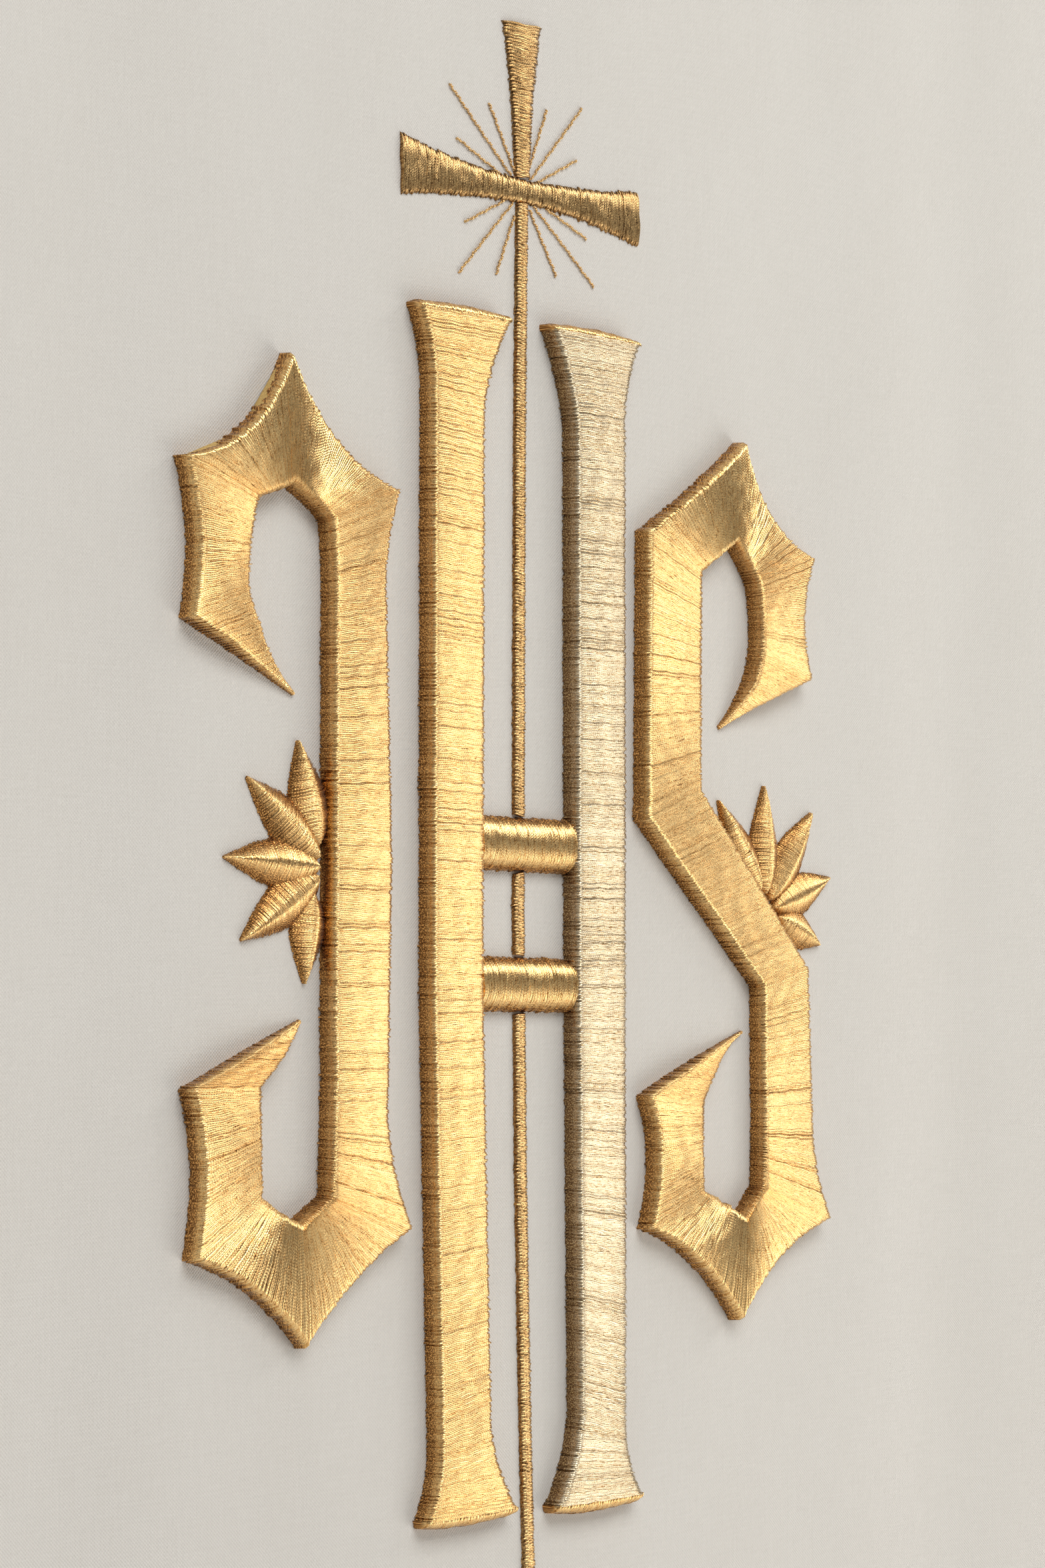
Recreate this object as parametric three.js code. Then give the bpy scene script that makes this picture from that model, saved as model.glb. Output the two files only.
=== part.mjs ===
// A chasuble of ivory cloth with a gold "IHS" and a rayed cross in raised satin stitch
// on its front, hung as it hangs from a broad padded shoulder bar.
// Millimetres, +Z up. The front faces -Y and +X is to the viewer's right. The origin is
// the middle of the neck opening, level with the top of the shoulders, where the garment
// rests on what holds it up.
import * as THREE from 'three';

// ---- The garment ----
const clothThickness = 1.0; // lined woven cloth
const seatGap = 0.3; // air left between pieces that touch
const neckHalfWidth = 95; // at the shoulder seams
const frontNeckDrop = 112; // how far the neckline dips in front
const backNeckDrop = 30;
const bindingWidth = 4; // rolled edge round the neck opening
const shoulderSlope = 0.34; // fall of the shoulder seam for each mm outwards
const flatHalfWidth = 290; // the panels hang flat as far out as this
const seamOverhang = 62; // the seam runs on past the flat part, over the end of the bar
const panelDepth = 60; // from the middle plane to the outside of either panel
const shoulderRound = 72; // height over which a panel curves off the shoulder
const frontLength = 1180; // from the top of the shoulders to the hem, middle front
const backLength = 1200;
const hemRise = 66; // how much the hem has risen where the flat part ends
const wristDrop = 505; // where the shoulder seam meets the side edge
const sideSpread = 62; // how far the side hangs out beyond the bar, at the bar
const sideFlare = 0.16; // added spread for each mm of fall
const foldCount = 3; // folds in each side of each panel
const foldReach = 0.1; // fold depth for each mm of fall
const foldLean = 0.42; // how much each fold rolls over, as a share of its depth
const foldEnd = 0.87; // the folds have died out this far from the flat part to the seam
const backingThickness = 0.8; // stabiliser behind the embroidery
const backingMargin = 9; // stabiliser left beyond the stitching

// ---- The embroidery ----
const emblemHeight = -500; // level of the emblem's own zero line
const letterRise = 6.2; // height of the padded letters off the cloth
const barRise = 5.4; // height of the two bars of the H
const endRowRise = 3.6; // height of the short rows that close the H's ends
const flatRise = 1.4; // height of the unpadded satin of the cross
const leafRise = 3.2;
const satinWall = 0.9; // thickness of the layer of stitches over the foam
const foamFrom = 9; // strokes narrower than this are stitched with no foam
const fullWidth = 15; // strokes this wide reach their full height
const barGap = 0.4; // between the ends of the H's bars and its columns
const shaftHalfWidth = 2.4; // the cross's long shaft
const rayRadius = 0.45;

// A satin stroke is a row of rungs. Each corner is [x, z] on one edge and [x, z] on the
// other, and each bow is how far the two edges curve in towards each other in between.
const letterI = {
  corners: [
    [-93.5, 21.5, -93, 22.5], [-136, 40.5, -114, 49], [-138, 85, -110.5, 75.5],
    [-98.5, 118, -97.5, 80.5], [-55.5, 83, -83.5, 71.5], [-61, 50, -82.3, 46],
    [-58.6, -25, -82.3, -25], [-60, -95, -82.2, -95], [-50, -130, -83, -119],
    [-91.5, -161, -94, -126], [-134, -134.5, -108.5, -118], [-135.5, -88, -109, -88],
    [-90.5, -69.5, -90, -70.5],
  ],
  bows: [
    [0.3, 2.5], [3.2, 1.3], [7, 0], [6.5, 0.8], [2.3, 0.4], [0, 0],
    [0, 0], [2.4, 0], [2.6, 0], [3.8, 0.5], [3.7, 0], [-0.7, 0],
  ],
};
const letterS = {
  corners: [
    [89.2, 20.5, 88.5, 21.5], [131.5, 38.5, 104, 45], [133, 78.5, 102.5, 68],
    [97, 113, 92.5, 80], [49.5, 80.5, 75.5, 69], [48.5, -9.5, 75, 1],
    [104.5, -61, 128.5, -55], [105, -105, 130.5, -105], [104.5, -124, 139.5, -136.5],
    [96, -133, 94, -166.5], [76, -124, 50, -135], [76, -97.5, 49.5, -94.5],
    [99.4, -76.2, 100, -75],
  ],
  bows: [
    [1.4, 2.2], [4.5, 1.2], [6.8, 0.3], [1.2, 0], [0, 0], [0, 0],
    [0, 0], [0, 2.3], [0, 4.6], [0, 4.3], [0, 4.6], [3.5, -1.5],
  ],
};
const leftColumn = {
  corners: [
    [-48, 138, -9.5, 138], [-42.8, 112, -20.8, 110], [-42.8, -60, -21.3, -60],
    [-39.3, -192, -18.2, -188], [-44.5, -214.5, -7.5, -213.8],
  ],
  bows: [[1.5, 1.8], [0, 0], [0, 0], [1.6, 1.9]],
};
const rightColumn = {
  corners: [
    [7.5, 138, 46.5, 137.5], [16.8, 108, 39.3, 108], [17, -60, 39.2, -60],
    [18.2, -188, 39.2, -194], [8.3, -215.3, 47.3, -215.3],
  ],
  bows: [[1.5, 2.2], [0, 0], [0, 0], [2, 2.2]],
};
// Each end row: where it starts and stops along the column's end, and how deep it is.
const endRows = {
  left_column_top_row: { from: [-48.2, 138.5], to: [-9.2, 138.4], deep: 2.4 },
  left_column_foot_row: { from: [-44.8, -215], to: [-7.2, -214.3], deep: -2.8 },
  right_column_top_row: { from: [7.2, 138.5], to: [46.8, 138], deep: 2.2 },
  right_column_foot_row: { from: [8, -215.8], to: [47.6, -215.8], deep: -3 },
};
const barDepth = 16.2; // height of each bar of the H
const barTops = { upper: -9.8, lower: -51.6 }; // their top edges at the left column
const barFall = 0.8; // how much each bar falls from left to right
const crossLevel = 179.3; // middle of the cross's arms
const crossArms = {
  corners: [[-51, 189, -51, 171], [0, 182.8, 0, 175.8], [50.5, 186.8, 50.5, 169.6]],
  bows: [[1.1, 1], [0.9, 1.2]],
};
const crossTop = {
  corners: [[-8.7, 230.3, 7.3, 230.3], [-3.8, 183.4, 2.4, 183.4]],
  bows: [[1, 1]],
};
const shaftPath = [[-0.7, 182], [-1.7, 100], [-2.3, -40], [-1.4, -120], [0.2, -190], [2, -250], [2.6, -350]];
const shaftTop = 175.2;
const shaftFoot = -348; // bottom of the shaft
const footFlare = 5.6; // extra half width at the foot
const footHeight = 46;
const iLeaves = [ // tip, root, half width
  [-91.5, 9, -84, -21, 4.2], [-111, -2, -84, -24.2, 4.3], [-119.5, -24.5, -83.5, -26.6, 4.3],
  [-113, -47.5, -84, -29, 4.3], [-88.8, -59.5, -86.4, -33.6, 3.4],
];
const sLeaves = [
  [88.5, -2, 108.6, -30.6, 4], [111.5, 3.5, 111.2, -31.4, 4.3], [136, -4.5, 113.6, -33.2, 4.3],
  [145, -25.5, 115.4, -35.8, 4.3], [139.6, -47.6, 117.6, -38.6, 4],
];
const rays = [
  [-31, 207], [-14.5, 204], [-28, 191.3], [9.7, 206], [25, 209], [22.8, 192.5],
  [-24.5, 166.5], [-27, 151], [-11.5, 152.5], [13.8, 155], [30.5, 154], [27.2, 168.5],
];

const goldThread = { color: 0xc9a050, roughness: 0.38, metalness: 0.9 };
const ivoryCloth = { color: 0xd6cfc6, roughness: 0.9, metalness: 0 };
const foamPadding = { color: 0xd9b45a, roughness: 0.95, metalness: 0 };
const whiteBacking = { color: 0xe8e6e0, roughness: 0.95, metalness: 0 };

const chasuble = new THREE.Group();

/** Adds a named piece with its own material. */
function addPiece(name, geometry, finish) {
  const piece = new THREE.Mesh(geometry, new THREE.MeshStandardMaterial(finish));
  piece.name = name;
  chasuble.add(piece);
}

/**
 * One closed solid through a row of sections. A section is two lists of points of the
 * same length, its upper side and its under side, joined at both ends.
 */
function solidThrough(sections) {
  const across = sections[0].upper.length;
  const ring = 2 * across;
  const points = sections.flatMap(({ upper, under }) => [...upper, ...[...under].reverse()]);
  const faces = [];
  const quad = (a, b, c, d) => faces.push(a, b, c, a, c, d);
  for (let i = 0; i + 1 < sections.length; i += 1) {
    for (let j = 0; j < ring; j += 1) {
      const next = (j + 1) % ring;
      const [a, b, c, d] = [i * ring + j, i * ring + next, (i + 1) * ring + next, (i + 1) * ring + j];
      // the under side's facets are split along the same diagonal as the upper side's
      if (j < across) quad(a, b, c, d);
      else quad(b, c, d, a);
    }
  }
  const last = (sections.length - 1) * ring;
  for (let j = 0; j + 1 < across; j += 1) {
    quad(ring - 1 - j, ring - 2 - j, j + 1, j);
    quad(last + j, last + j + 1, last + ring - 2 - j, last + ring - 1 - j);
  }
  const geometry = new THREE.BufferGeometry();
  geometry.setAttribute('position', new THREE.Float32BufferAttribute(points.flat(), 3));
  geometry.setIndex(volumeOf(points, faces) < 0 ? [...faces].reverse() : faces);
  geometry.computeVertexNormals();
  return geometry;
}

/** Six times the signed volume inside a closed set of faces. */
function volumeOf(points, faces) {
  let sum = 0;
  for (let i = 0; i < faces.length; i += 3) {
    const [a, b, c] = [0, 1, 2].map((k) => new THREE.Vector3(...points[faces[i + k]]));
    sum += a.dot(b.cross(c));
  }
  return sum;
}

// ---- Cloth panels ----

/** Height of the shoulder seam at a distance x from the middle. */
const seamHeight = (x) => -shoulderSlope * Math.max(0, Math.abs(x) - neckHalfWidth);

/** Height of the neckline at x, for a given dip. */
const neckHeight = (x, drop) => -drop * Math.sqrt(Math.max(0, 1 - (x / neckHalfWidth) ** 2));

/** How far out and how far forward the cloth hangs, once it is clear of the shoulder. */
function hangingPlan(side, fall) {
  // side runs from 0, where the flat part ends, to 1 at the shoulder seam
  const turn = side * Math.PI / 2;
  const spread = sideSpread + sideFlare * fall;
  const depth = foldReach * fall * Math.sqrt(Math.sin(Math.PI * Math.min(1, side / foldEnd)));
  const wave = 2 * Math.PI * foldCount * side;
  const out = depth * (1 - Math.cos(wave)) / 2;
  const roll = foldLean * depth * Math.sin(wave);
  const x = spread * Math.sin(turn) + out * Math.sin(turn) - roll * Math.cos(turn);
  const y = (panelDepth + out) * Math.cos(turn) + roll * Math.sin(turn);
  return [flatHalfWidth + x, y];
}

const flatShare = 0.5; // half of a panel's grid across hangs flat
const curveShare = 0.3; // this much of its grid down goes over the shoulder's curve
const hemSweep = 0.75; // how sharply the hem turns up to the wrist: 1 is an oval

/** A point on a panel's outside: across is -1..1 with the flat part inside +-flatShare. */
function panelPoint(across, down, { length, neckDrop }) {
  const out = Math.abs(across);
  const side = Math.max(0, (out - flatShare) / (1 - flatShare));
  const seamX = side > 0 ? flatHalfWidth + side * seamOverhang : (out / flatShare) * flatHalfWidth;
  const top = seamX < neckHalfWidth ? neckHeight(seamX, neckDrop) : seamHeight(seamX);
  const flatHem = -length + hemRise * (seamX / flatHalfWidth) ** 2;
  const hem = side > 0
    ? -wristDrop - (length - hemRise - wristDrop) * Math.cos(side * Math.PI / 2) ** hemSweep
    : flatHem;
  const arcTop = seamX < neckHalfWidth ? 0 : top; // level where the shoulder's curve starts
  const arcFoot = arcTop - shoulderRound;
  const fallStart = Math.min(top, arcFoot);
  const fallShare = top > arcFoot ? (down - curveShare) / (1 - curveShare) : down;
  const z = down <= curveShare && top > arcFoot
    ? top + (arcFoot - top) * (1 - Math.cos(down / curveShare * Math.PI / 2))
    : fallStart + (hem - fallStart) * fallShare;
  const curve = Math.sqrt(Math.max(0, 1 - Math.min(1, Math.max(0, (z - arcFoot) / shoulderRound)) ** 2));
  const seat = seatGap / 2;
  if (side === 0) return [Math.sign(across) * seamX, seat + (panelDepth - seat) * curve, z];
  const [planX, planY] = hangingPlan(side, Math.max(0, arcFoot - z));
  const x = seamX + (planX - seamX) * curve;
  return [Math.sign(across) * x, Math.max(seat, seat + (planY - seat) * curve), z];
}

const foldSteps = 6; // ribs to each fold

const maxMitre = 0.6; // the sharpest corner that is still given its full thickness

/** Where the neckline has its corners, from the middle to the shoulder seam. */
const neckShares = [0, 0.25, 0.5, 0.72, 0.88, 0.97, 1];

/** Where the ribs of a panel stand: at the neck's edge, over the flat part and at the folds. */
function ribPlaces() {
  const neckEdge = flatShare * neckHalfWidth / flatHalfWidth;
  const flat = neckShares.map((share) => share * neckEdge);
  const plain = [0.28, 0.62].map((share) => neckEdge + share * (flatShare - neckEdge));
  const ribs = foldCount * foldSteps;
  const folds = Array.from({ length: ribs + 1 }, (_, i) => flatShare + (1 - flatShare) * i / ribs);
  const half = [...flat, ...plain, ...folds];
  return [...half.slice(1).reverse().map((a) => -a), ...half];
}

/**
 * The inside of a sheet whose outside is a grid of points: each point goes in by the
 * cloth's thickness, square to the facets round it.
 */
function insideOf(grid) {
  const facet = (i, r) => {
    const [a, b, c, d] = [grid[i]?.[r], grid[i + 1]?.[r], grid[i + 1]?.[r + 1], grid[i]?.[r + 1]];
    return a && c ? c.clone().sub(a).cross(b.clone().sub(d)).normalize() : null;
  };
  return grid.map((column, i) => column.map((point, r) => {
    const round = [facet(i - 1, r - 1), facet(i, r - 1), facet(i - 1, r), facet(i, r)].filter(Boolean);
    const inward = round.reduce((sum, normal) => sum.add(normal), new THREE.Vector3()).normalize();
    const square = round.reduce((sum, normal) => sum + normal.dot(inward), 0) / round.length;
    return point.clone().addScaledVector(inward, clothThickness / Math.max(square, maxMitre));
  }));
}

/** A panel of cloth as one closed sheet, thick towards the wearer. */
function panelSolid(face, sizes) {
  const rows = [0, 0.3, 0.6, 0.83, 1].map((share) => share * curveShare);
  const fallRows = [0.17, 0.37, 0.57, 0.79, 1].map((share) => curveShare + share * (1 - curveShare));
  const outside = ribPlaces().map((a) => (
    [...rows, ...fallRows].map((d) => new THREE.Vector3(...panelPoint(a, d, sizes)))
  ));
  const inside = insideOf(outside);
  const place = ({ x, y, z }) => [x, face * Math.max(seatGap / 2, y), z];
  return solidThrough(outside.map((column, i) => ({ upper: column.map(place), under: inside[i].map(place) })));
}

/** Half of the rolled edge round the neck, from shoulder seam to shoulder seam. */
function bindingSolid(face, neckDrop) {
  const half = neckShares.map((share) => Math.asin(share));
  const turns = [...half.slice(1).reverse().map((turn) => -turn), ...half];
  const edgePoint = (turn, inset) => {
    const x = (neckHalfWidth - inset) * Math.sin(turn);
    const z = -(neckDrop - inset) * Math.cos(turn);
    const round = Math.max(0, 1 + z / shoulderRound);
    return new THREE.Vector3(x, Math.max(seatGap / 2, panelDepth * Math.sqrt(1 - round ** 2)), z);
  };
  const inset = 2 * seatGap;
  const thick = 2 * clothThickness;
  const sections = turns.map((turn) => {
    const cloth = edgePoint(turn, inset);
    const free = edgePoint(turn, inset + bindingWidth);
    const lean = Math.asin(Math.max(0, 1 + cloth.z / shoulderRound));
    const inward = new THREE.Vector3(0, -thick * Math.cos(lean), -thick * Math.sin(lean));
    const place = ({ x, y, z }) => [x, face * Math.max(seatGap / 2, y), z];
    return {
      upper: [place(cloth), place(free)],
      under: [place(cloth.clone().add(inward)), place(free.clone().add(inward))],
    };
  });
  return solidThrough(sections);
}

// ---- Embroidery ----

/** A point of the embroidery: x and z on the cloth's face and its rise off the cloth. */
const stitchPoint = ([x, z], rise) => [x, -(panelDepth + seatGap + rise), emblemHeight + z];

/** The point at a share of the way from one [x, z] to another. */
const between = (a, b, share) => [a[0] + (b[0] - a[0]) * share, a[1] + (b[1] - a[1]) * share];

const distance = (a, b) => Math.hypot(b[0] - a[0], b[1] - a[1]);

/** A point on an edge from a to b, bowed towards the facing point. */
function bowed(a, b, facing, bow, share) {
  const [x, z] = between(a, b, share);
  const middle = between(a, b, 0.5);
  const reach = distance(middle, facing);
  const swell = 4 * share * (1 - share) * bow / reach;
  return [x + (facing[0] - middle[0]) * swell, z + (facing[1] - middle[1]) * swell];
}

/** The rungs of a satin stroke, as pairs of [x, z], about so far apart. */
function rungsOf({ corners, bows }, spacing) {
  const rungs = [];
  corners.slice(1).forEach((corner, i) => {
    const [a, b] = [corners[i].slice(0, 2), corners[i].slice(2)];
    const [c, d] = [corner.slice(0, 2), corner.slice(2)];
    const steps = Math.max(1, Math.round((distance(a, c) + distance(b, d)) / 2 / spacing));
    for (let k = i === 0 ? 0 : 1; k <= steps; k += 1) {
      const share = k / steps;
      rungs.push([
        bowed(a, c, between(b, d, 0.5), bows[i][0], share),
        bowed(b, d, between(a, c, 0.5), bows[i][1], share),
      ]);
    }
  });
  return rungs;
}

// Sections of a stroke: places across it and the share of its full rise at each.
const slab = { shares: [0, 0.05, 0.16, 0.5, 0.84, 0.95, 1], lifts: [0, 0.62, 0.93, 1, 0.93, 0.62, 0] };
const dome = { shares: [0, 0.07, 0.26, 0.5, 0.74, 0.93, 1], lifts: [0, 0.5, 0.88, 1, 0.88, 0.5, 0] };
const flat = { shares: [0, 0.2, 0.8, 1], lifts: [0.12, 1, 1, 0.12] };
const gable = { shares: [0, 0.25, 0.5, 0.75, 1], lifts: [0.1, 0.58, 1, 0.58, 0.1] };

const narrowing = 0.7; // how fast a stroke loses height as it narrows
const riseOf = (rung, rise) => rise * Math.min(1, distance(...rung) / fullWidth) ** narrowing;

/** Which rungs stand over foam: not the two ends, and not where the stroke is narrow. */
const isPadded = (rungs) => rungs.map((rung, i) => i > 0 && i < rungs.length - 1 && distance(...rung) > foamFrom);

/** The layer of stitches over a padded stroke: a shell, open where the foam sits. */
function stitchShell(rungs, rise, { shares, lifts }) {
  const padded = isPadded(rungs);
  return solidThrough(rungs.map((rung, i) => {
    const inset = Math.min(0.3, satinWall / distance(...rung));
    const high = riseOf(rung, rise);
    const room = padded[i] ? high - satinWall : 0;
    return {
      upper: shares.map((u, j) => stitchPoint(between(...rung, u), high * lifts[j])),
      under: shares.map((u, j) => stitchPoint(between(...rung, inset + u * (1 - 2 * inset)), room * lifts[j])),
    };
  }));
}

/** The foam under a padded stroke. */
function foamSolid(rungs, rise, { shares, lifts }) {
  const padded = isPadded(rungs);
  const footLift = 0.12;
  const foamSlope = 0.69; // radians: the steepest part of the foam that needs its full gap
  return solidThrough(rungs.filter((_, i) => padded[i]).map((rung) => {
    const inset = (satinWall + 2 * seatGap) / distance(...rung);
    const high = riseOf(rung, rise) - satinWall - seatGap / Math.cos(foamSlope);
    const at = (u, lift) => stitchPoint(between(...rung, inset + u * (1 - 2 * inset)), lift);
    return {
      upper: shares.map((u, j) => at(u, high * Math.max(lifts[j], footLift))),
      under: shares.map((u) => at(u, 0)),
    };
  }));
}

/** Satin stitched straight on the cloth, with nothing under it. */
function satinSolid(rungs, rise, { shares, lifts }) {
  return solidThrough(rungs.map((rung) => ({
    upper: shares.map((u, j) => stitchPoint(between(...rung, u), rise * lifts[j])),
    under: shares.map((u) => stitchPoint(between(...rung, u), 0)),
  })));
}

/** Adds a padded stroke as two pieces, its stitches and its foam. */
function addPadded(name, stroke, rise, profile, spacing) {
  const rungs = rungsOf(stroke, spacing);
  addPiece(`${name}_satin`, stitchShell(rungs, rise, profile), goldThread);
  addPiece(`${name}_foam`, foamSolid(rungs, rise, profile), foamPadding);
}

const leafPoint = 0.35; // half width left at a leaf's two ends
const leafEndRise = 0.25; // height left there, as a share of the leaf's height

/** A pointed leaf with a ridge along its middle. */
function leafSolid([tipX, tipZ, rootX, rootZ, halfWidth]) {
  const root = [rootX, rootZ];
  const tip = [tipX, tipZ];
  const length = distance(root, tip);
  const side = [(tipZ - rootZ) / length, -(tipX - rootX) / length];
  const shares = [0, 0.12, 0.3, 0.5, 0.7, 0.88, 1];
  return solidThrough(shares.map((share) => {
    const swell = Math.sin(Math.PI * share);
    const half = leafPoint + halfWidth * swell ** 1.2;
    const [x, z] = between(root, tip, share);
    const rung = [-1, 1].map((s) => [x + s * half * side[0], z + s * half * side[1]]);
    const rise = leafRise * (leafEndRise + (1 - leafEndRise) * swell ** 0.8);
    return {
      upper: gable.shares.map((u, j) => stitchPoint(between(...rung, u), rise * gable.lifts[j])),
      under: gable.shares.map((u) => stitchPoint(between(...rung, u), 0)),
    };
  }));
}

// ---- The pieces ----
addPiece('front_panel', panelSolid(-1, { length: frontLength, neckDrop: frontNeckDrop }), ivoryCloth);
addPiece('back_panel', panelSolid(1, { length: backLength, neckDrop: backNeckDrop }), ivoryCloth);
addPiece('front_neck_binding', bindingSolid(-1, frontNeckDrop), ivoryCloth);
addPiece('back_neck_binding', bindingSolid(1, backNeckDrop), ivoryCloth);

// The letters and the H's columns, each stitched over foam.
const bentSpacing = 15; // between rungs where strokes bend
const straightSpacing = 30;
const shortSpacing = 8;
addPadded('letter_i', letterI, letterRise, slab, bentSpacing);
addPadded('letter_s', letterS, letterRise, slab, bentSpacing);
addPadded('h_left_column', leftColumn, letterRise, slab, straightSpacing);
addPadded('h_right_column', rightColumn, letterRise, slab, straightSpacing);

// The rows of short stitches that close the ends of the columns.
const rowEnds = 0.4; // depth of a row at its two ends, as a share of its depth
for (const [name, { from, to, deep }] of Object.entries(endRows)) {
  const steps = 6;
  const rungs = Array.from({ length: steps + 1 }, (_, i) => {
    const [x, z] = between(from, to, i / steps);
    const depth = deep * (rowEnds + (1 - rowEnds) * Math.sqrt(Math.sin(Math.PI * i / steps)));
    return [[x, z + Math.sign(deep) * seatGap], [x, z + depth]];
  });
  addPiece(`h_${name}`, satinSolid(rungs, endRowRise, flat), goldThread);
}

// The two bars of the H stand between the columns.
const edgeAt = (column, edge, z) => {
  const [a, b] = [column.corners[1], column.corners[2]];
  return a[edge] + (b[edge] - a[edge]) * (z - a[edge + 1]) / (b[edge + 1] - a[edge + 1]);
};
for (const [name, top] of Object.entries(barTops)) {
  const left = edgeAt(leftColumn, 2, top) + barGap;
  const right = edgeAt(rightColumn, 0, top) - barGap;
  const bar = {
    corners: [[left, top, left, top - barDepth], [right, top - barFall, right, top - barFall - barDepth]],
    bows: [[0, 0]],
  };
  addPadded(`h_${name}_bar`, bar, barRise, dome, shortSpacing);
}

// The cross: its arms in one piece, its top, and its long shaft in three lengths.
addPiece('cross_arms', satinSolid(rungsOf(crossArms, shortSpacing), flatRise, flat), goldThread);
addPiece('cross_top', satinSolid(rungsOf(crossTop, shortSpacing), flatRise, flat), goldThread);
const shaftPoints = [...shaftPath].reverse();
const shaftLine = new THREE.CubicInterpolant(
  shaftPoints.map(([, z]) => z), shaftPoints.map(([x]) => x), 1, new Float32Array(1),
);
const barMiddle = (top) => top - barFall / 2;
const shaftStops = {
  upper: [shaftTop, barMiddle(barTops.upper) + 2 * seatGap],
  middle: [barMiddle(barTops.upper) - barDepth - 2 * seatGap, barMiddle(barTops.lower) + 2 * seatGap],
  lower: [barMiddle(barTops.lower) - barDepth - 2 * seatGap, shaftFoot],
};
for (const [name, [top, foot]] of Object.entries(shaftStops)) {
  const steps = Math.max(2, Math.round((top - foot) / bentSpacing));
  const rungs = Array.from({ length: steps + 1 }, (_, i) => {
    const z = top + (foot - top) * i / steps;
    const flare = footFlare * Math.max(0, 1 - (z - shaftFoot) / footHeight) ** 2;
    const [x] = shaftLine.evaluate(z);
    return [[x - shaftHalfWidth - flare, z], [x + shaftHalfWidth + flare, z]];
  });
  addPiece(`cross_${name}_shaft`, satinSolid(rungs, flatRise, flat), goldThread);
}

iLeaves.forEach((leaf, i) => addPiece(`i_leaf_${i + 1}`, leafSolid(leaf), goldThread));
sLeaves.forEach((leaf, i) => addPiece(`s_leaf_${i + 1}`, leafSolid(leaf), goldThread));

// Twelve thin rays of running stitch start clear of the cross and end at their points.
const crossMiddle = [-0.8, crossLevel];
const clearUp = 5.2; // clear of the arms
const clearAcross = 4.5; // clear of the upright
rays.forEach((point, i) => {
  const run = [point[0] - crossMiddle[0], point[1] - crossMiddle[1]];
  const start = Math.max(clearUp / Math.abs(run[1]), clearAcross / Math.abs(run[0]));
  const inner = between(crossMiddle, point, start);
  const ray = new THREE.CylinderGeometry(rayRadius, rayRadius, distance(inner, point), 6);
  ray.rotateY(Math.PI / 6);
  ray.rotateZ(Math.atan2(-run[0], run[1]));
  // the cylinder was made along Y: stand it up in the plane of the cloth
  ray.rotateX(Math.PI / 2);
  const [x, y, z] = stitchPoint(between(inner, point, 0.5), rayRadius);
  ray.translate(x, y, z);
  addPiece(`cross_ray_${i + 1}`, ray, goldThread);
});

// A sheet of stabiliser lies behind the front panel, all round the stitching.
const stitched = [letterI, letterS, crossTop].flatMap((stroke) => rungsOf(stroke, bentSpacing)).flat();
const backingLeft = Math.min(...stitched.map(([x]) => x)) - backingMargin;
const backingRight = Math.max(...stitched.map(([x]) => x), ...sLeaves.map(([x]) => x)) + backingMargin;
const backingTop = emblemHeight + Math.max(...stitched.map(([, z]) => z)) + backingMargin;
const backingFoot = emblemHeight + shaftFoot - backingMargin;
const backing = new THREE.BoxGeometry(backingRight - backingLeft, backingThickness, backingTop - backingFoot);
backing.translate(
  (backingLeft + backingRight) / 2,
  -(panelDepth - clothThickness - seatGap - backingThickness / 2),
  (backingTop + backingFoot) / 2,
);
addPiece('embroidery_backing', backing, whiteBacking);

export default chasuble;
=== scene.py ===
"""A chasuble: a wide sleeveless vestment of ivory cloth, hung by its shoulders, with a gold
monogram and a rayed cross in raised satin stitch on its front. Metres, +Z up, front to -Y."""
import bpy
import numpy as np
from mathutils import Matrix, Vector


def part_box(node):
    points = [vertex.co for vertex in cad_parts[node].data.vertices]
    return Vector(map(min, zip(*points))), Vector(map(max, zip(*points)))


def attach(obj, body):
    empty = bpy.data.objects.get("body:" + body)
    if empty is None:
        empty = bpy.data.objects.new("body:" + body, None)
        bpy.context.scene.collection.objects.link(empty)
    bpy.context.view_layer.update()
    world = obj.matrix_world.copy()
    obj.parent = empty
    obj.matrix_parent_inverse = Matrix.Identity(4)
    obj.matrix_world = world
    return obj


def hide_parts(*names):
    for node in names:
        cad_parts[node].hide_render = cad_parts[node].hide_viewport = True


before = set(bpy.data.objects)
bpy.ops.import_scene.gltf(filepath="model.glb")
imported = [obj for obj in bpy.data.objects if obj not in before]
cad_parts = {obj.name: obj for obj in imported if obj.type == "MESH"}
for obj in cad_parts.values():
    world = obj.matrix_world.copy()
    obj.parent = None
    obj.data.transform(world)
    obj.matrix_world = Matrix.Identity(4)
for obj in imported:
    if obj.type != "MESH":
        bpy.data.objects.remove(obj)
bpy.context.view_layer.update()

# ---------------------------------------------------------------------------------------
# The two panels. Each is one piece of fine plain-woven cloth in ivory, cut to a wide
# oval and sewn to the other along the shoulder seams only. It rounds over the shoulder,
# hangs flat in the middle and falls in three rolled folds at each side.
# ---------------------------------------------------------------------------------------
NECK_HALF_WIDTH = 0.095
FLAT_HALF_WIDTH = 0.290
SEAM_END = 0.352
SEAT_GAP = 0.0003
PANEL_DEPTH = -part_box("cross_arms")[1][1] - SEAT_GAP
SHOULDER_ROUND = 0.072
SHOULDER_SLOPE = 0.34
WRIST_DROP = 0.505
HEM_RISE = 0.066
FRONT_LENGTH = 1.180
BACK_LENGTH = 1.200
FRONT_NECK_DROP = 0.112
BACK_NECK_DROP = 0.030
EMBLEM_HEIGHT = -0.500
FLAT_SHARE = 0.5
CURVE_SHARE = 0.3
SIDE_SPREAD = 0.062
SIDE_FLARE = 0.16
FOLDS = 3
FOLD_REACH = 0.1
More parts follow.
